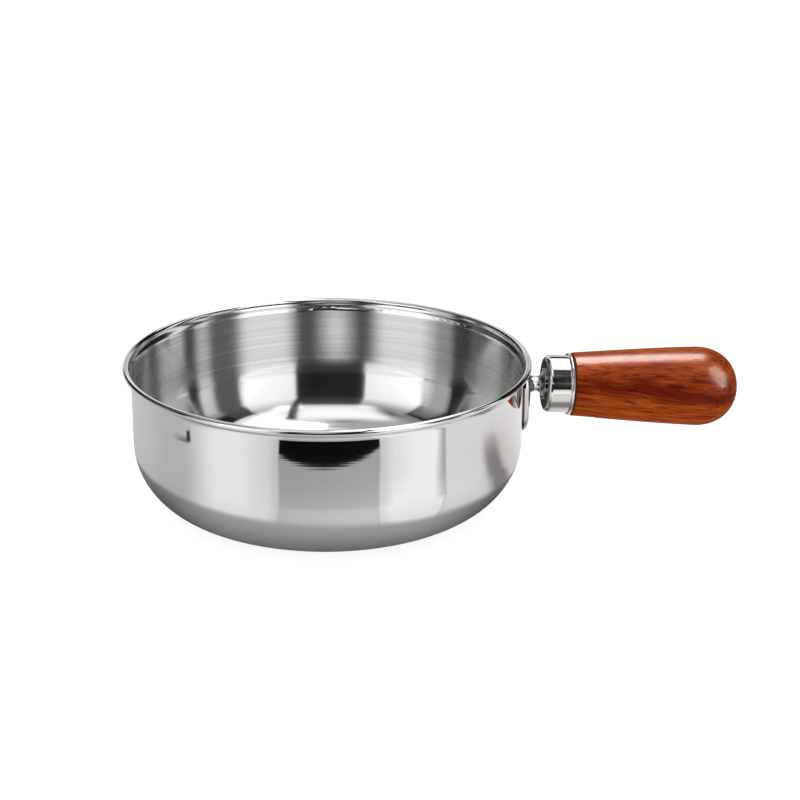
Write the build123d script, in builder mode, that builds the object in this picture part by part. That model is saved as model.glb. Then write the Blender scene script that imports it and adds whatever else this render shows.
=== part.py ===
"""Milk pan: a drawn stainless-steel pan with a rolled rim and a turned wooden handle.

Millimetres, +Z up. The origin is the centre of the flat underside, on the pan's own
axis. The handle points along +X and droops a little towards its end.
"""

from build123d import *
from math import atan, cos, degrees, radians, sin, sqrt
import os

os.makedirs("parts", exist_ok=True)

# Pan: one piece of sheet, drawn to a straight wall and rolled outwards at the rim
rim_diameter = 165.0  # over the rolled bead, the size that the pan is sold by
rim_overhang = 3.2  # how far the bead stands out beyond the straight wall
pan_height = 59.5  # underside to the top of the bead
pan_sheet = 0.7
corner_radius = 27.0  # outside, between the flat base and the wall
bead_diameter = 2.6
bead_opening = 75.0  # degrees left open where the curl stops short of the wall
flare_height = 4.0  # the wall leans out to meet the bead over this height

# Handle line: the seat is where the ferrule's face meets the bracket
seat_standoff = 9.9  # from the straight wall to the seat
handle_droop = 2.8  # degrees below level

# Bracket: a forged foot welded to the wall, a waisted neck and a round flange
foot_width = 15.0
foot_height = 27.3
foot_depth = 3.5  # from the wall to the foot's outer face, beside the neck
foot_lean = 2.0  # degrees that the foot thins by, towards its lower end
foot_rounding = 2.3
foot_inset = 6.0  # how deep the blank reaches inside the wall before it is trimmed
foot_top_gap = 1.3  # from the top of the straight wall down to the foot
waist_diameter = 6.4
flange_diameter = 12.6
flange_edge = 0.9
flange_rounding = 0.4
flange_reach = 3.2  # from the seat back to the waist
flare_drop = 3.4  # how far the neck spreads down onto the foot
flare_rise = 1.2  # how far it spreads upwards
flare_side = 2.2
neck_bite = 0.8  # how deep the neck runs into the foot
neck_section_shares = (0.0, 0.35, 0.62, 0.83, 0.95)  # of the way from waist to foot

# Stud and insert: an M5 thread holds the handle on
stud_diameter = 5.0
stud_length = 21.0
stud_seat_depth = 1.0  # blind hole in the flange
stud_point = 0.5
insert_diameter = 8.0
insert_length = 16.0
insert_inset = 0.5
insert_groove_width = 3.0
insert_groove_depth = 0.5
thread_clearance = 0.05

# Ferrule: a drawn cup with a rolled lip
ferrule_length = 10.6
ferrule_diameter = 23.6
ferrule_sheet = 0.8
ferrule_edge_radius = 1.7
lip_height = 1.0  # how far the lip stands proud of the cup
lip_width = 1.2
lip_root_radius = 0.3
lip_rounding = 0.42
stud_hole_clearance = 0.2

# Fibre washer between the lip and the wood
washer_thickness = 0.6
washer_step = 0.35  # how far it stays inside the lip's edge

# Handle: turned hardwood with a spigot that fills the ferrule
wood_length = 69.7
shoulder_height = 0.3  # how far the wood's shoulder stands proud of the lip
wood_belly_diameter = 32.66
wood_belly_place_share = 0.745  # of the wood's length, from its shoulder
shoulder_rounding = 0.6
taper_start_slope = 0.073
taper_end_slope = 0.035
taper_pull_share = 0.33  # reach of the taper's two control points
crown_pull_share = 0.60  # fullness of the rounded end
spigot_clearance = 0.05
spigot_end_gap = 0.25
insert_bore_spare = 7.0  # bore left free behind the insert

# Sizes that follow
wall_radius = rim_diameter / 2 - rim_overhang
base_radius = wall_radius - corner_radius
curl_radius = bead_diameter / 2 - pan_sheet
curl_center_radius = rim_diameter / 2 - bead_diameter / 2
curl_center_height = pan_height - bead_diameter / 2
curl_turn = 360 - bead_opening
flare_offset = curl_center_radius - curl_radius - wall_radius
flare_turn = 2 * degrees(atan(flare_offset / flare_height))
flare_radius = flare_height / (2 * sin(radians(flare_turn)))
wall_top = curl_center_height - flare_height

seat_reach = wall_radius + seat_standoff
seat_height = wall_top - foot_top_gap - foot_width / 2
handle_direction = Vector(cos(radians(handle_droop)), 0, -sin(radians(handle_droop)))
handle_up = Vector(sin(radians(handle_droop)), 0, cos(radians(handle_droop)))
handle_seat = Vector(seat_reach, 0, seat_height)
handle_plane = Plane(origin=handle_seat, x_dir=handle_direction, z_dir=(0, -1, 0))
handle_axis = Axis(handle_seat, handle_direction)

waist_radius = waist_diameter / 2
flange_radius = flange_diameter / 2
stud_radius = stud_diameter / 2
insert_radius = insert_diameter / 2
ferrule_radius = ferrule_diameter / 2
lip_radius = ferrule_radius + lip_height
shoulder_radius = lip_radius + shoulder_height
spigot_radius = ferrule_radius - ferrule_sheet - spigot_clearance
spigot_start = ferrule_sheet + spigot_end_gap
insert_start = spigot_start + insert_inset
washer_radius = lip_radius - washer_step
wood_start = ferrule_length + washer_thickness
wood_end = wood_start + wood_length
insert_bore_end = insert_start + insert_length + insert_bore_spare


def across_handle(distance):
    """The plane square to the handle, this far from the seat, with its x upwards."""
    origin = handle_seat + handle_direction * distance
    return Plane(origin=origin, x_dir=handle_up, z_dir=handle_direction)


def sheet_face_line(depth):
    """A face of the sheet, this deep below the outer one: from mid base to the curl's end."""
    base = Line((0, depth), (base_radius, depth))
    corner = JernArc(base @ 1, base % 1, corner_radius - depth, 90)
    wall = Line(corner @ 1, (wall_radius - depth, wall_top))
    lean_out = JernArc(wall @ 1, wall % 1, flare_radius - pan_sheet / 2 + depth, -flare_turn)
    stand_up = JernArc(lean_out @ 1, lean_out % 1, flare_radius + pan_sheet / 2 - depth, flare_turn)
    curl = JernArc(stand_up @ 1, stand_up % 1, curl_radius + depth, -curl_turn)
    return base @ 0, curl @ 1


with BuildPart() as pan_body:
    with BuildSketch(Plane.XZ):
        with BuildLine():
            outer_middle, outer_end = sheet_face_line(0)
            inner_middle, inner_end = sheet_face_line(pan_sheet)
            Line(outer_middle, inner_middle)
            Line(outer_end, inner_end)
        make_face()
    revolve(axis=Axis.Z)
pan_body.part.label = "pan_body"
export_step(pan_body.part, "parts/pan_body.step")

# The foot is an upright pad with a rounded edge, trimmed to the curve of the wall.
# Its upper end is round about the neck.
foot_face_x = wall_radius + foot_depth
foot_plane = Plane(
    origin=(foot_face_x, 0, seat_height),
    x_dir=(0, 1, 0),
    z_dir=(cos(radians(foot_lean)), 0, -sin(radians(foot_lean))),
)
foot_span = foot_height - foot_width
neck_length = seat_reach - flange_reach - foot_face_x

with BuildPart() as handle_bracket:
    with BuildSketch(foot_plane):
        with Locations((0, -foot_span / 2)):
            SlotCenterToCenter(foot_span, foot_width, rotation=90)
    extrude(amount=-foot_inset - foot_depth)
    foot_face = faces().sort_by(Axis.X)[-1]
    fillet(foot_face.edges(), radius=foot_rounding)
    Cylinder(radius=wall_radius, height=2 * pan_height, mode=Mode.SUBTRACT)

    # The neck spreads from its waist onto the foot in a hollow curve, mostly downwards
    for share in neck_section_shares:
        spread = 1 - sqrt(1 - share**2)
        rise = waist_radius + flare_rise * spread
        drop = waist_radius + flare_drop * spread
        side = waist_radius + flare_side * spread
        with BuildSketch(across_handle(-flange_reach - share * (neck_length + neck_bite))):
            with Locations(((rise - drop) / 2, 0)):
                Ellipse((rise + drop) / 2, side)
    loft()

    # The flange opens like a trumpet towards the ferrule
    with BuildSketch(handle_plane):
        with BuildLine():
            root = Line((-flange_reach, 0), (-flange_reach, waist_radius))
            bell = EllipticalCenterArc(
                (-flange_reach, flange_radius - flange_rounding),
                flange_reach - flange_edge,
                flange_radius - flange_rounding - waist_radius,
                start_angle=-90,
                arc_size=90,
            )
            rim = JernArc(bell @ 1, (0, 1), flange_rounding, -90)
            edge = Line(rim @ 1, (0, flange_radius))
            Polyline(edge @ 1, (0, 0), root @ 0)
        make_face()
    revolve(axis=handle_axis)
    with BuildSketch(across_handle(0)):
        Circle(stud_radius)
    extrude(amount=-stud_seat_depth, mode=Mode.SUBTRACT)
handle_bracket.part.label = "handle_bracket"
export_step(handle_bracket.part, "parts/handle_bracket.step")

with BuildPart() as handle_stud:
    with BuildSketch(across_handle(-stud_seat_depth)):
        Circle(stud_radius)
    extrude(amount=stud_length)
    chamfer(faces().sort_by(handle_axis)[-1].edges(), length=stud_point)
handle_stud.part.label = "handle_stud"
export_step(handle_stud.part, "parts/handle_stud.step")

# The cup is open towards the wood, and its mouth ends in a thicker lip
with BuildPart() as ferrule:
    with BuildSketch(handle_plane):
        with BuildLine():
            FilletPolyline(
                (0, stud_radius + stud_hole_clearance),
                (0, ferrule_radius),
                (ferrule_length - lip_width, ferrule_radius),
                (ferrule_length - lip_width, lip_radius),
                (ferrule_length, lip_radius),
                (ferrule_length, ferrule_radius - ferrule_sheet),
                (ferrule_sheet, ferrule_radius - ferrule_sheet),
                (ferrule_sheet, stud_radius + stud_hole_clearance),
                radius=[
                    0,
                    ferrule_edge_radius,
                    lip_root_radius,
                    lip_rounding,
                    lip_rounding,
                    0,
                    ferrule_edge_radius - ferrule_sheet,
                    0,
                ],
                close=True,
            )
        make_face()
    revolve(axis=handle_axis)
ferrule.part.label = "ferrule"
export_step(ferrule.part, "parts/ferrule.step")

with BuildPart() as fibre_washer:
    with BuildSketch(across_handle(ferrule_length)):
        Circle(washer_radius)
        Circle(spigot_radius + spigot_clearance, mode=Mode.SUBTRACT)
    extrude(amount=washer_thickness)
fibre_washer.part.label = "fibre_washer"
export_step(fibre_washer.part, "parts/fibre_washer.step")

# The wood swells from its shoulder to a belly near the end, then closes in a full crown
belly_x = wood_start + wood_belly_place_share * wood_length
belly_radius = wood_belly_diameter / 2
taper_pull = taper_pull_share * (belly_x - wood_start)
crown_pull = crown_pull_share * (wood_end - belly_x)
spigot_corner_radius = ferrule_edge_radius - ferrule_sheet + spigot_clearance

with BuildPart() as wood_handle:
    with BuildSketch(handle_plane):
        with BuildLine():
            bore = Polyline(
                (wood_end, 0),
                (insert_bore_end, 0),
                (insert_bore_end, insert_radius),
                (spigot_start, insert_radius),
            )
            spigot = FilletPolyline(
                bore @ 1,
                (spigot_start, spigot_radius),
                (wood_start, spigot_radius),
                (wood_start, shoulder_radius - shoulder_rounding),
                radius=[spigot_corner_radius, 0],
            )
            shoulder = JernArc(spigot @ 1, (0, 1), shoulder_rounding, -90)
            taper = Bezier(
                shoulder @ 1,
                shoulder @ 1 + Vector(taper_pull, taper_pull * taper_start_slope),
                Vector(belly_x - taper_pull, belly_radius - taper_pull * taper_end_slope),
                Vector(belly_x, belly_radius),
            )
            Bezier(
                taper @ 1,
                taper @ 1 + Vector(crown_pull, crown_pull * taper_end_slope),
                Vector(wood_end, belly_radius * crown_pull_share),
                Vector(wood_end, 0),
            )
        make_face()
    revolve(axis=handle_axis)
wood_handle.part.label = "wood_handle"
export_step(wood_handle.part, "parts/wood_handle.step")

# The insert is pressed into the spigot, and a groove round it grips the wood
groove_start = insert_start + (insert_length - insert_groove_width) / 2
groove_radius = insert_radius - insert_groove_depth
insert_bore_radius = stud_radius + thread_clearance

with BuildPart() as threaded_insert:
    with BuildSketch(handle_plane):
        with BuildLine():
            Polyline(
                (insert_start, insert_bore_radius),
                (insert_start, insert_radius),
                (groove_start, insert_radius),
                (groove_start, groove_radius),
                (groove_start + insert_groove_width, groove_radius),
                (groove_start + insert_groove_width, insert_radius),
                (insert_start + insert_length, insert_radius),
                (insert_start + insert_length, insert_bore_radius),
                close=True,
            )
        make_face()
    revolve(axis=handle_axis)
threaded_insert.part.label = "threaded_insert"
export_step(threaded_insert.part, "parts/threaded_insert.step")
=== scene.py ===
"""Milk pan in a small white studio: its finishes, the table, the light and the camera."""

import bpy
from math import cos, pi, radians, sin
from mathutils import Matrix, Vector


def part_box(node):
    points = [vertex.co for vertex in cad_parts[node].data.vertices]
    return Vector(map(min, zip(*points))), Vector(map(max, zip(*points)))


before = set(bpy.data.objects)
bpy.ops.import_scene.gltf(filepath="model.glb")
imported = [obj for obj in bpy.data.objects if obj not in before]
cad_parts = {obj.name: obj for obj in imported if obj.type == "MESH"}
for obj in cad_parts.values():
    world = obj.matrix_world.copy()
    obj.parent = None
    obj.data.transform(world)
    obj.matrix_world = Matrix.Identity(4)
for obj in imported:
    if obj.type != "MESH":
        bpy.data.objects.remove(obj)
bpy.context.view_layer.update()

# Pan: one drawing of stainless sheet, polished to a mirror outside, on its rolled rim and
# in the round corner inside. The straight wall inside keeps the fine rings of the brush
# that went round in it, and the base has the rings of the lathe that it was spun on.
pan_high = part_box("pan_body")[1]
rim_overhang = 0.0032
bead_radius = 0.0013
flare_height = 0.004
corner_radius = 0.027
sheet = 0.0007
wall_radius = pan_high.x - rim_overhang
base_radius = wall_radius - corner_radius
flare_top = pan_high.z - bead_radius
wall_top = flare_top - flare_height


class Shade:
    """A shader socket that takes part in sums: each operator adds its Math node."""

    def __init__(self, tree, socket):
        self.tree = tree
        self.socket = socket

    def node(self, kind, settings=None, sockets=None, output=0):
        """A new node in the same tree, with its settings made before its sockets are filled."""
        made = self.tree.nodes.new(kind)
        for name, value in (settings or {}).items():
            if name == "stops":
                fill_ramp(made.color_ramp, value)
            else:
                setattr(made, name, value)
        for name, value in (sockets or {}).items():
            if isinstance(value, Shade):
                self.tree.links.new(value.socket, made.inputs[name])
            else:
                made.inputs[name].default_value = value
        return Shade(self.tree, made.outputs[output] if made.outputs else None)

    def maths(self, operation, *others):
        """One Math node, with this value first."""
        sockets = dict(enumerate((self, *others)))
        return self.node("ShaderNodeMath", {"operation": operation}, sockets)

    def __add__(self, other):
        return self.maths("ADD", other)

    def __sub__(self, other):
        return self.maths("SUBTRACT", other)

    def __rsub__(self, other):
        return self.node("ShaderNodeMath", {"operation": "SUBTRACT"}, {0: other, 1: self})

    def __mul__(self, other):
        return self.maths("MULTIPLY", other)

    def __pow__(self, other):
        return self.maths("POWER", other)

    def __abs__(self):
        return self.maths("ABSOLUTE")

    __radd__ = __add__
    __rmul__ = __mul__

    def step(self, start, end):
        """Rises smoothly from 0 to 1 as the value goes from start to end."""
        sockets = {"Value": self, "From Min": start, "From Max": end}
        return self.node("ShaderNodeMapRange", {"interpolation_type": "SMOOTHSTEP"}, sockets)

    def drop(self, start, end):
        """Falls smoothly from 1 to 0 as the value goes from start to end."""
        return 1 - self.step(start, end)

    def between(self, low, high):
        """A number from 0 to 1 stretched to run from low to high."""
        return self * (high - low) + low

    def mix(self, first, second):
        """The first colour where the value is 0, and the second where it is 1."""
        sockets = {"Factor": self, 6: first, 7: second}
        return self.node("ShaderNodeMix", {"data_type": "RGBA"}, sockets, output=2)

    def turned(self, angle):
        """This position turned about the upright axis."""
        sockets = {"Vector": self, "Angle": angle}
        return self.node("ShaderNodeVectorRotate", {"rotation_type": "Z_AXIS"}, sockets)

    def parts(self):
        """The x, y and z of a position."""
        split = self.node("ShaderNodeSeparateXYZ", None, {"Vector": self})
        return [Shade(self.tree, socket) for socket in split.socket.node.outputs]

    def spot(self, x, y, z):
        """A position made from its x, y and z."""
        return self.node("ShaderNodeCombineXYZ", None, {"X": x, "Y": y, "Z": z})

    def noise(self, scale=1.0, detail=2.0, roughness=0.5):
        """Noise over this position, with about this many features to a unit of length."""
        sockets = {"Vector": self, "Scale": scale, "Detail": detail, "Roughness": roughness}
        return self.node("ShaderNodeTexNoise", None, sockets)

    def bump(self, strength, distance, **under):
        """A bumped normal from this height, over the plain one or over the Normal given."""
        sockets = {"Height": self, "Strength": strength, "Distance": distance, **under}
        return self.node("ShaderNodeBump", None, sockets)

    def surface(self, **sockets):
        """The layered surface shader, with underscores for the spaces in its socket names."""
        named = {name.replace("_", " "): value for name, value in sockets.items()}
        return self.node("ShaderNodeBsdfPrincipled", None, named)

    def blend(self, first, second):
        """The first finish where the value is 0, and the second where it is 1."""
        return self.node("ShaderNodeMixShader", None, {"Fac": self, 1: first, 2: second})


def fill_ramp(ramp, stops):
    """Sets a colour ramp's stops from pairs of place and colour."""
    while len(ramp.elements) < len(stops):
        ramp.elements.new(1.0)
    for element, (place, colour) in zip(ramp.elements, stops):
        element.position = place
        element.color = colour


def start_material(name):
    """An empty material and the position on the object that its nodes begin from."""
    material = bpy.data.materials.new(name)
    material.use_nodes = True
    material.node_tree.nodes.clear()
    place = Shade(material.node_tree, None).node("ShaderNodeTexCoord", output=3)
    return material, place


def finish_material(material, surface):
    """Sends the finish to the material's output."""
    surface.node("ShaderNodeOutputMaterial", None, {"Surface": surface})
    return material


def dress(node, material):
    """Gives a carried-over piece its material."""
    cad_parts[node].data.materials.clear()
    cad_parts[node].data.materials.append(material)


pan_material, place = start_material("pan_steel")
x, y, z = place.parts()
radius = (x * x + y * y) ** 0.5

# how deep a point lies under the outer face tells the inside of the sheet from the outside
past_base = (radius - base_radius).maths("MAXIMUM", 0)
below_wall = (corner_radius - z).maths("MAXIMUM", 0)
depth = corner_radius - (past_base * past_base + below_wall * below_wall) ** 0.5
inside = depth.step(0.45 * sheet, 0.55 * sheet)

# one finish gives way to the next in a soft edge, given by where it starts and where it ends
brush_start = (0.023, 0.035)
brush_end = (wall_top - 0.0003, wall_top + 0.0008)
floor_end = (base_radius - 0.004, base_radius)
straight_wall = z.step(*brush_start) * z.drop(*brush_end)
on_floor = radius.drop(*floor_end)

# the tools went round, so their marks are long round the pan and very fine across
across_marks = z + radius
fine_along = 8
fine_across = 3400
wide_along = 6
wide_across = 1100
fine_rings = place.spot(x * fine_along, y * fine_along, across_marks * fine_across).noise()
wide_rings = place.spot(x * wide_along, y * wide_along, across_marks * wide_across).noise()
haze = place.noise(scale=40, detail=3.0)

# the inside is shaded as if its wall opened a little outwards, most of all where the round
# corner starts, so that it mirrors the room and not the other side of the pan
corner_lean_end = 0.015
lean_end = (wall_top - 0.0002, wall_top + 0.0009)
crease_bottom = 0.027
crease_top = 0.034
top_lean = 0.33
lean_per_metre = 3.0
crease_lean = 0.06
in_crease = z.drop(crease_bottom, crease_top)
lean = (wall_top - z) * lean_per_metre + top_lean + in_crease * crease_lean
in_corner = (z - corner_lean_end) * (1 / (crease_bottom - corner_lean_end))
lean = lean * in_corner.maths("MAXIMUM", 0).maths("MINIMUM", 1)
outwards = place.spot(0, 0, lean * inside * z.drop(*lean_end))
flat = place.node("ShaderNodeNewGeometry", output=1)
leaning = place.node("ShaderNodeVectorMath", {"operation": "ADD"}, {0: flat, 1: outwards})
leaning = place.node("ShaderNodeVectorMath", {"operation": "NORMALIZE"}, {0: leaning})

# the mop leaves the round corner inside and the flare under the bead a little duller
corner_dull = 0.05
corner_dull_end = (0.03, 0.05)
flare_dull = 0.10
flare_dull_start = (wall_top, wall_top + 0.0008)
flare_dull_end = (flare_top - 0.0008, flare_top + 0.0002)
ripple_end = (wall_top - 0.001, wall_top + 0.001)
in_flare = z.step(*flare_dull_start) * z.drop(*flare_dull_end)
duller = inside * z.drop(*corner_dull_end) * corner_dull + in_flare * flare_dull
ripples = wide_rings * z.drop(*ripple_end)
mirror = place.surface(
    Base_Color=haze.mix((0.78, 0.78, 0.775, 1), (0.83, 0.83, 0.825, 1)),
    Metallic=1.0,
    Roughness=(haze * 0.5 + fine_rings * 0.5).between(0.02, 0.06) + duller,
    Normal=ripples.bump(0.03, 0.0002, Normal=leaning),
)

# the brushed wall is mostly satin, with a little of a rougher haze over it
rings = fine_rings * 0.5 + wide_rings * 0.5
satin = place.surface(
    Base_Color=rings.mix((0.26, 0.26, 0.255, 1), (0.78, 0.78, 0.77, 1)),
    Metallic=1.0,
    Roughness=(wide_rings * 0.6 + fine_rings * 0.4).between(0.11, 0.17),
    Anisotropic=0.4,
    Anisotropic_Rotation=0.25,
    Normal=fine_rings.bump(0.02, 0.0001, Normal=leaning),
)
hazy = place.surface(
    Base_Color=fine_rings.mix((0.50, 0.50, 0.49, 1), (0.66, 0.66, 0.65, 1)),
    Metallic=1.0,
    Roughness=wide_rings.between(0.45, 0.55),
    Normal=leaning,
)
brushed = haze.between(0.16, 0.24).blend(satin, hazy)
spun = place.surface(
    Base_Color=fine_rings.mix((0.82, 0.82, 0.81, 1), (0.92, 0.92, 0.91, 1)),
    Metallic=1.0,
    Roughness=wide_rings.between(0.12, 0.20),
    Anisotropic=0.6,
    Anisotropic_Rotation=0.25,
    Normal=fine_rings.bump(0.03, 0.0001),
)
pan_finish = (inside * straight_wall).blend(on_floor.blend(mirror, spun), brushed)
dress("pan_body", finish_material(pan_material, pan_finish))

# Bracket: a small steel forging, welded to the wall by its foot and polished with it. The
# belt has left its face a little uneven. Its flange, the crease at the weld and the foot's
# top are painted dark, as painted shade.
flange_shade_start = (0.0845, 0.0875)
foot_top_gap = 0.0013
foot_top = wall_top - foot_top_gap
crease_shade_edge = (0.0007, 0.0016)
foot_top_shade_edge = (0.0015, 0.0025)
bracket_material, place = start_material("bracket_steel")
x, y, z = place.parts()
belt = place.spot(x * 900, y * 900, z * 120).noise()
haze = place.noise(scale=220)
polished = haze.mix((0.72, 0.72, 0.72, 1), (0.80, 0.80, 0.79, 1))
# the crease where the foot meets the wall and the foot's top under the rim are painted dark, as
# painted shade
from_wall = (x * x + y * y) ** 0.5 - wall_radius
clear_of_painted_shade = from_wall.step(*crease_shade_edge) * (foot_top - z).step(*foot_top_shade_edge)
steel = clear_of_painted_shade.mix((0.035, 0.034, 0.033, 1), polished)
bracket_finish = place.surface(
    # the flange is painted dark, as painted shade where the ferrule's closed end meets it
    Base_Color=x.step(*flange_shade_start).mix(steel, (0.30, 0.29, 0.28, 1)),
    Metallic=1.0,
    Roughness=belt.between(0.03, 0.09),
    Normal=haze.bump(0.06, 0.0003),
)
dress("handle_bracket", finish_material(bracket_material, bracket_finish))

# Stud: a length of M5 screw, brazed into the flange at one end. Its thread is fine rings,
# and the insert and the wood shut it in.
handle_droop = radians(2.8)
thread_pitch = 0.0008


def along_slope(x, z, slope):
    """How far a point lies along a line that falls by this slope."""
    return x * cos(slope) - z * sin(slope)


stud_material, place = start_material("stud_steel")
x, y, z = place.parts()
along = along_slope(x, z, handle_droop)
thread = (along * (2 * pi / thread_pitch)).maths("SINE")
stud_finish = place.surface(
    Base_Color=place.noise(scale=400).mix((0.50, 0.50, 0.49, 1), (0.62, 0.62, 0.60, 1)),
    Metallic=1.0,
    Roughness=thread.between(0.30, 0.42),
    Normal=thread.bump(0.5, 0.0003),
)
dress("handle_stud", finish_material(stud_material, stud_finish))

# Ferrule: a cup drawn from nickel-plated brass, polished, with its mouth turned up into a lip.
# The mop went round it, so its faint marks do too. Its closed end, which sits on the
# bracket, is painted dark as painted shade.
closed_end = (0.0870, 0.0874)
ferrule_material, place = start_material("ferrule_steel")
x, y, z = place.parts()
along = along_slope(x, z, handle_droop)
mop_marks = place.spot(along * 6000, y * 60, z * 60).noise()
haze = place.noise(scale=160)
plate = haze.mix((0.80, 0.785, 0.76, 1), (0.85, 0.84, 0.82, 1))
# the closed end is painted dark, as painted shade where it sits on the bracket
end_in_painted_shade = along.drop(*closed_end)
ferrule_finish = place.surface(
    Base_Color=end_in_painted_shade.mix(plate, (0.22, 0.215, 0.21, 1)),
    Metallic=1.0,
    Roughness=(mop_marks * 0.6 + haze * 0.4).between(0.03, 0.09),
    Normal=mop_marks.bump(0.02, 0.0001),
)
dress("ferrule", finish_material(ferrule_material, ferrule_finish))

# Washer: a ring of black vulcanised fibre, cut with a punch, between the lip and the wood.
# Its cut edge is matt and a little hairy.
washer_material, place = start_material("black_fibre")
fibre = place.noise(scale=2500, detail=4.0)
washer_finish = place.surface(
    Base_Color=fibre.mix((0.006, 0.005, 0.005, 1), (0.022, 0.019, 0.016, 1)),
    Roughness=fibre.between(0.55, 0.8),
    Specular_IOR_Level=0.25,
    Normal=fibre.bump(0.3, 0.0001),
)
dress("fibre_washer", finish_material(washer_material, washer_finish))

# Handle: turned from a reddish hardwood, stained, and dipped in a clear gloss lacquer. Its
# pores run nearly along the handle, and they show as dark dashes under the lacquer. A band of
# painted shade runs along its middle.
grain_slope = radians(4.0) + handle_droop
wood_shade_place = 0.0622
wood_shade_wave = 0.004
wood_shade_edge = (0.0008, 0.0048)
wood_shade_strength = 0.15
pore_edge = (0.53, 0.66)
pore_strength = 0.72
wood_stops = (
    (0.34, (0.125, 0.0095, 0.0010, 1)),
    (0.48, (0.262, 0.0370, 0.0030, 1)),
    (0.62, (0.400, 0.0840, 0.0080, 1)),
)
pore_colour = (0.050, 0.0030, 0.0005, 1)
wood_material, place = start_material("lacquered_wood")
x, y, z = place.parts()
along = along_slope(x, z, grain_slope)
across = x * sin(grain_slope) + z * cos(grain_slope)
broad = place.spot(along * 14, y * 110, across * 110).noise(detail=3.0)
fibres = place.spot(along * 55, y * 800, across * 800).noise(detail=4.0, roughness=0.6)
pore_marks = place.spot(along * 100, y * 1300, across * 1300).noise().step(*pore_edge)
# a band of painted shade darkens the wood along the handle's middle
wood_shade_band = abs(across - wood_shade_place + broad * wood_shade_wave).drop(*wood_shade_edge)
darkness = broad * 0.50 + fibres * 0.50 - wood_shade_band * wood_shade_strength
wood_tone = place.node("ShaderNodeValToRGB", {"stops": wood_stops}, {"Fac": darkness})
wood_finish = place.surface(
    Base_Color=(pore_marks * pore_strength).mix(wood_tone, pore_colour),
    Roughness=fibres.between(0.45, 0.6),
    Specular_IOR_Level=0.0,
    Coat_Weight=0.1,
    Coat_Roughness=0.26,
    Coat_IOR=1.5,
    Normal=pore_marks.bump(0.04, 0.0001),
)
dress("wood_handle", finish_material(wood_material, wood_finish))

# Insert: a brass bush pressed into the wood, as turned and with no plating. The wood shuts
# it in, so its finish is plain, with one soft wave from side to side.
waves_in_a_turn = 40
insert_material, place = start_material("insert_brass")
x, y, z = place.parts()
wave = (y.maths("ARCTAN2", z) * waves_in_a_turn).maths("SINE")
insert_finish = place.surface(
    Base_Color=place.noise(scale=300).mix((0.60, 0.40, 0.14, 1), (0.74, 0.54, 0.24, 1)),
    Metallic=1.0,
    Roughness=wave.between(0.22, 0.38),
    Normal=wave.bump(0.4, 0.0003),
)
dress("threaded_insert", finish_material(insert_material, insert_finish))

# Floor and table: a plain white floor that the camera sees, and a table top that shows only
# in the steel. In front the table has a grey board, and past the board's straight front edge
# it is black. A second sheet and a small block lie on it as tones alone, and a disc of
# painted contact shade lies under the pan. None of this is part of the pan.
view_turn = radians(6.3)
floor_reach = 6.0
floor_height = -0.0002
floor_shine = 0.84
table_height = 0.0001


def stage_plate(name, height, material, seen_by):
    """A wide level square that only these kinds of rays see."""
    corners = [(-1, -1), (1, -1), (1, 1), (-1, 1)]
    points = [(u * floor_reach, v * floor_reach, height) for u, v in corners]
    mesh = bpy.data.meshes.new(name)
    mesh.from_pydata(points, [], [(0, 1, 2, 3)])
    mesh.materials.append(material)
    plate = bpy.data.objects.new(name, mesh)
    bpy.context.scene.collection.objects.link(plate)
    plate.visible_camera = "camera" in seen_by
    plate.visible_diffuse = "diffuse" in seen_by
    plate.visible_glossy = "glossy" in seen_by
    plate.visible_transmission = False
    plate.visible_shadow = False


# the floor shines by itself, so that it is white where the pan shades it too
floor_material, place = start_material("floor")
floor_white = place.node("ShaderNodeBsdfDiffuse", None, {"Color": (0.27, 0.27, 0.27, 1)})
floor_glow = place.node("ShaderNodeEmission", None, {"Color": (1, 1, 1, 1), "Strength": floor_shine})
floor_look = place.node("ShaderNodeAddShader", None, {0: floor_white, 1: floor_glow})
stage_plate("floor", floor_height, finish_material(floor_material, floor_look), ("camera", "diffuse"))

# the table's tone goes over to the next one between two bearings, from the back on the left,
# round the front, to the back on the right: each row has the two bearings and that next tone
back_left_tone = 0.56
table_tones = (
    (-110, -85, 0.50),
    (-75, -50, 0.92),
    (-42, -26, 0.74),
    (-27, -21, 0.60),
    (-21.2, -19.8, 0.38),
    (-17, 22, 0.42),
    (24.9, 26.3, 0.66),
    (26.3, 34, 0.86),
    (34, 46, 0.99),
    (85, 110, 1.04),
)
to_degrees = 180 / pi
table_material, place = start_material("table")
x, y, z = place.turned(view_turn).parts()
bearing = x.maths("ARCTAN2", 0 - y) * to_degrees
radius = (x * x + y * y) ** 0.5

# the board's sides are at set bearings, and it narrows a little towards the pan
board_reach = 0.190
board_narrowing = 2.5
board_left = (-20.9, -20.0)
board_right = (25.4, 26.3)
spread = bearing * ((board_reach - radius).maths("MAXIMUM", 0) * board_narrowing + 1)
on_board = spread.step(*board_left) * spread.drop(*board_right)
tone_before = back_left_tone
tone = tone_before
for start, end, tone_after in table_tones:
    tone = tone + spread.step(start, end) * (tone_after - tone_before)
    tone_before = tone_after

# a second sheet starts behind a fold on the right, with a soft shade in front of the fold
fold_to_right = 0.310
fold_to_back = 0.951
fold_place = 0.0452
fold_start = (0.050, 0.060)
fold_front = (-0.018, 0)
fold_back = (0, 0.004)
fold_reach = (0.07, 0.17)
fold_strength = 0.56
sheet_edge = (0, 0.002)
sheet_strength = 0.24
past_fold = x * fold_to_right + y * fold_to_back + fold_place
on_right = x.step(*fold_start)
in_shade = past_fold.step(*fold_front) * past_fold.drop(*fold_back)
fold_shade = on_right * in_shade * radius.step(*fold_reach)
second_sheet = on_right * past_fold.step(*sheet_edge)
tone = tone * (1 - fold_shade * fold_strength) * (1 - second_sheet * sheet_strength)
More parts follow.
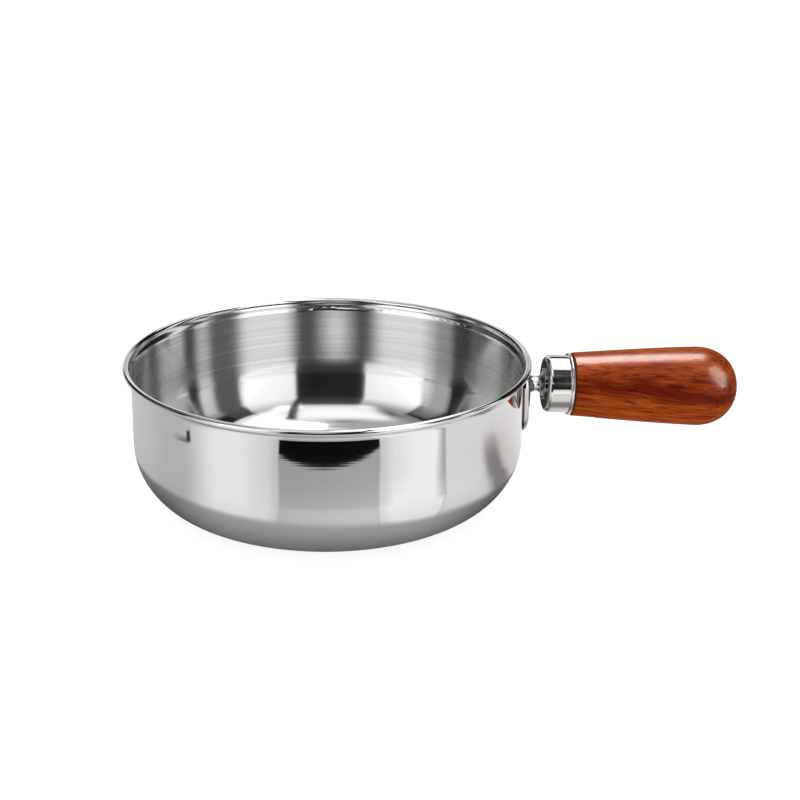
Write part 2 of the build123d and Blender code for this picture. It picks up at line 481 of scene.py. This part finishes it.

# near the pan the table is painted lighter, as painted light, and a soft shadow of the handle is
# painted on it
painted_light_reach = (0.105, 0.180)
painted_light_start = (-40, -5)
painted_light_lost_on_sheet = 0.7
painted_light_gain = 0.32
handle_shade_y = -0.010
handle_shade_side = (0.006, 0.022)
handle_shade_start = (0.060, 0.080)
handle_shade_end = (0.140, 0.185)
handle_shade_strength = 0.55
painted_light_near_pan = radius.drop(*painted_light_reach) * bearing.step(*painted_light_start)
painted_light_near_pan = painted_light_near_pan * (1 - second_sheet * painted_light_lost_on_sheet)
under_handle = x.step(*handle_shade_start) * x.drop(*handle_shade_end)
handle_shade = abs(y - handle_shade_y).drop(*handle_shade_side) * under_handle
tone = tone * (1 + painted_light_near_pan * painted_light_gain) * (1 - handle_shade * handle_shade_strength)

# past the board's front edge and behind the painted contact shade on the right the table is
# nearly black, and the board is lighter near the pan
board_front = (-0.1865, -0.1845)
front_strength = 0.99
contact_shade_radius = 0.093
dark_bearing = 159
dark_side = (14, 22)
dark_start = (contact_shade_radius, contact_shade_radius + 0.015)
dark_strength = 0.95
board_light_end = (0.10, 0.17)
board_gain = 0.25
past_front = on_board * y.drop(*board_front)
from_dark = abs((bearing - dark_bearing).maths("WRAP", 180, -180))
dark_back = from_dark.drop(*dark_side) * radius.step(*dark_start)
tone = tone * (1 + on_board * radius.drop(*board_light_end) * board_gain)
tone = tone * (1 - past_front * front_strength) * (1 - dark_back * dark_strength)

# a small dark block stands by itself on the left, and a thin shade runs from it to the back
block_x = -0.1765
block_y = -0.0705
block_side = (0.006, 0.009)
block_front = (0.002, 0.006)
block_strength = 0.92
shade_slant = 0.177
shade_place = 0.1837
shade_side = (0.0012, 0.0035)
shade_start = (-0.069, -0.067)
shade_end = (-0.066, -0.028)
shade_strength = 0.80
block = abs(x - block_x).drop(*block_side) * abs(y - block_y).drop(*block_front)
from_shade = abs(x + y * shade_slant + shade_place)
block_shade = from_shade.drop(*shade_side) * y.step(*shade_start) * y.drop(*shade_end)
tone = tone * (1 - block * block_strength) * (1 - block_shade * shade_strength)

# the painted contact shade under the pan lies a little to the left of the pan's middle, and is darker
# to the sides
contact_shade_x = -0.006
contact_shade_end = (contact_shade_radius - 0.006, contact_shade_radius + 0.006)
contact_shade_rim = (0.066, 0.092)
contact_shade_middle_tone = 0.375
contact_shade_rim_tone = 0.46
contact_shade_side = (30, 75)
contact_shade_side_dark = 0.22
from_contact_shade = ((x - contact_shade_x) * (x - contact_shade_x) + y * y) ** 0.5
in_contact_shade = from_contact_shade.drop(*contact_shade_end)
contact_shade_tone = from_contact_shade.step(*contact_shade_rim).between(contact_shade_middle_tone, contact_shade_rim_tone)
contact_shade_tone = contact_shade_tone - abs(bearing).step(*contact_shade_side) * contact_shade_side_dark
tone = tone * (1 - in_contact_shade) + in_contact_shade * contact_shade_tone
table_colour = tone.mix((0, 0, 0, 1), (0.90, 0.90, 0.90, 1))
table_look = place.node("ShaderNodeBsdfDiffuse", None, {"Color": table_colour})
stage_plate("table", table_height, finish_material(table_material, table_look), ("glossy",))

# Light: the steel shows a room of soft panels, given by their middle bearing and half width,
# how soft their sides are, the heights where they start, begin to change and end, and their
# glow low down and high up. Bearing 0 is in front of the pan, and bearings grow to the right.
panels = (
    ("right front", 41, 17, 6, -12, 18, 26, 1.45, 1.45),
    ("right front top", 42, 19, 1.5, 26, 26, 54, 1.18, 0.40),
    ("left front", -46, 18, 7, -12, 18, 26, 1.45, 1.45),
    ("left front top", -42, 20, 1.5, 26, 26, 52, 1.18, 0.25),
    ("front slit", -3, 8, 9, 18, 20, 27, 1.90, 0.30),
    ("right gap", 70, 9, 3, -12, 20, 50, 0.10, 0.04),
    ("high front", -1, 24, 1.5, 34, 36, 50, 0.03, 0.07),
    ("left grey", -72, 8, 3, -12, 18, 44, 0.45, 0.15),
    ("left side", -99, 5, 3, -12, 20, 60, 0.12, 0.35),
    ("far left side", -115, 9, 5, -12, 20, 60, 0.08, 0.12),
    ("right grey", 84, 5, 3, -12, 15, 34, 0.85, 0.25),
    ("right side", 105, 6, 3, -12, 20, 60, 0.90, 0.30),
    ("high right", 105, 45, 10, 48, 60, 90, 0.90, 0.90),
    ("high left", -105, 45, 10, 48, 60, 90, 0.25, 0.25),
    ("low back", 180, 28, 4, -12, 10, 22, 0.75, 0.45),
    ("back", 165, 12, 6, 36, 70, 90, 2.00, 1.60),
    ("back left", -165, 13, 6, 20, 60, 80, 0.80, 0.50),
)
foot_softness = 1
top_softness = 3
# The ceiling's panels are given by their middle and half size to the right and to the front,
# in heights of the room, and by how soft their edges are and their glow.
ceiling_panels = (
    ("overhead", 0.085, 0.585, 0.50, 0.32, 0.12, 1.00),
    ("overhead right", 0.33, 0.33, -0.10, 0.24, 0.13, 0.80),
)
lowest_rise = 0.05
dark_room = 0.012
top_glow = 0.20
top_start = (50, 66)
world = bpy.data.worlds.new("studio")
bpy.context.scene.world = world
world.use_nodes = True
world.node_tree.nodes.clear()
world.cycles.sampling_method = "NONE"
direction = Shade(world.node_tree, None).node("ShaderNodeTexCoord")
x, y, z = direction.turned(view_turn).parts()
bearing = x.maths("ARCTAN2", 0 - y) * to_degrees
height = z.maths("ARCSINE") * to_degrees
room = height.step(*top_start) * top_glow + dark_room
for name, middle, half_width, softness, low, change, high, low_glow, high_glow in panels:
    from_middle = abs((bearing - middle).maths("WRAP", 180, -180))
    across_panel = from_middle.drop(half_width - softness, half_width + softness)
    above_foot = height.step(low - foot_softness, low + foot_softness)
    below_top = height.drop(high - top_softness, high + top_softness)
    glow = height.step(change, high).between(low_glow, high_glow)
    room = room + across_panel * above_foot * below_top * glow
    room.socket.node.label = name
rise = z.maths("MAXIMUM", lowest_rise)
to_right = x.maths("DIVIDE", rise)
to_front = (0 - y).maths("DIVIDE", rise)
for name, middle, half_width, front, half_depth, softness, glow in ceiling_panels:
    across_panel = abs(to_right - middle).drop(half_width - softness, half_width + softness)
    along_panel = abs(to_front - front).drop(half_depth - softness, half_depth + softness)
    room = room + across_panel * along_panel * glow
    room.socket.node.label = name

# a narrow black strip hangs under the ceiling's panels. It starts nearly overhead and runs to
# the front and a little to the right, and the ferrule mirrors it as its dark middle.
strip_place = 0.23
strip_slant = 0.245
strip_sides = (0.035, 0.060)
strip_start = (0.10, 0.24)
strip_strength = 0.96
from_strip = abs(to_right - to_front * strip_slant - strip_place)
strip = from_strip.drop(*strip_sides) * to_front.step(*strip_start)
room = room * (1 - strip * strip_strength)

# the camera sees plain white, and what isn't steel is lit by a soft sky
rays = direction.node("ShaderNodeLightPath").socket.node.outputs
camera_ray = Shade(world.node_tree, rays["Is Camera Ray"])
diffuse_ray = Shade(world.node_tree, rays["Is Diffuse Ray"])
sky_low = 0.62
sky_high = 1.25
soft_sky = z.maths("MAXIMUM", 0).between(sky_low, sky_high)
strength = camera_ray + diffuse_ray * soft_sky + (1 - camera_ray) * (1 - diffuse_ray) * room
sky = direction.node("ShaderNodeBackground", None, {"Color": (1, 1, 1, 1), "Strength": strength})
sky.node("ShaderNodeOutputWorld", None, {"Surface": sky})


def group(name, nodes):
    """A collection of carried-over pieces for a lamp to tell apart."""
    made = bpy.data.collections.new(name)
    for node in nodes:
        made.objects.link(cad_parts[node])
    return made


def soft_light(name, spot, aim, size, glow, colour, only_on=(), shaded_by=()):
    """An oval lamp. With only_on, it is a shine on those pieces alone and lights nothing."""
    width, depth = size
    lamp = bpy.data.lights.new(name, "AREA")
    lamp.shape = "ELLIPSE"
    lamp.size = width
    lamp.size_y = depth
    lamp.color = colour
    face = pi / 4 * width * depth
    lamp.energy = glow * pi * face
    holder = bpy.data.objects.new(name, lamp)
    bpy.context.scene.collection.objects.link(holder)
    turn = Matrix.Rotation(-view_turn, 4, "Z")
    facing = (Vector(aim) - Vector(spot)).to_track_quat("-Z", "Y").to_matrix().to_4x4()
    holder.matrix_world = turn @ Matrix.Translation(spot) @ facing
    holder.visible_camera = False
    holder.visible_glossy = bool(only_on)
    holder.visible_diffuse = not only_on
    if only_on:
        holder.light_linking.receiver_collection = group(name + "_on", only_on)
    if shaded_by:
        holder.light_linking.blocker_collection = group(name + "_shaded_by", shaded_by)


white = (1, 1, 1)
warm = (1.0, 0.93, 0.86)
pan_front = (0.08, 0.0, 0.03)
handle_foot = (0.085, 0.245, 0)
handle_middle = (0.125, 0.014, 0.042)
wood = ("wood_handle",)
handle_pieces = ("wood_handle", "fibre_washer", "ferrule", "handle_bracket")
soft_light("key", (0.12, 0.42, 0.80), pan_front, (0.26, 0.26), 12, white, shaded_by=handle_pieces)
soft_light("handle_top", (0.085, 0.245, 0.545), handle_foot, (0.50, 0.37), 128, warm, only_on=wood)
soft_light("handle_end", (0.537, -0.120, 0.292), handle_middle, (0.34, 0.52), 64, warm, only_on=wood)

# Camera: it stands a little round from square to the handle and looks down at the pan.
# Its lens is a long one, so the rim's ellipse is hardly wider in front than behind.
view_height = radians(20.24)
view_roll = 0.005
view_distance = 0.816
aim = Vector((0.02937, 0, 0.04151))
forward = Vector((0, cos(view_height), -sin(view_height)))
level_up = Vector((0, sin(view_height), cos(view_height)))
level_right = Vector((1, 0, 0))
right = cos(view_roll) * level_right + sin(view_roll) * level_up
up = cos(view_roll) * level_up - sin(view_roll) * level_right
lens = bpy.data.cameras.new("camera")
lens.sensor_width = 36
lens.lens = 90
camera = bpy.data.objects.new("camera", lens)
bpy.context.scene.collection.objects.link(camera)
axes = Matrix((right, up, -forward)).transposed().to_4x4()
stand = Matrix.Translation(aim - view_distance * forward)
camera.matrix_world = Matrix.Rotation(-view_turn, 4, "Z") @ stand @ axes
bpy.context.scene.camera = camera
bpy.context.scene.view_settings.view_transform = "Standard"
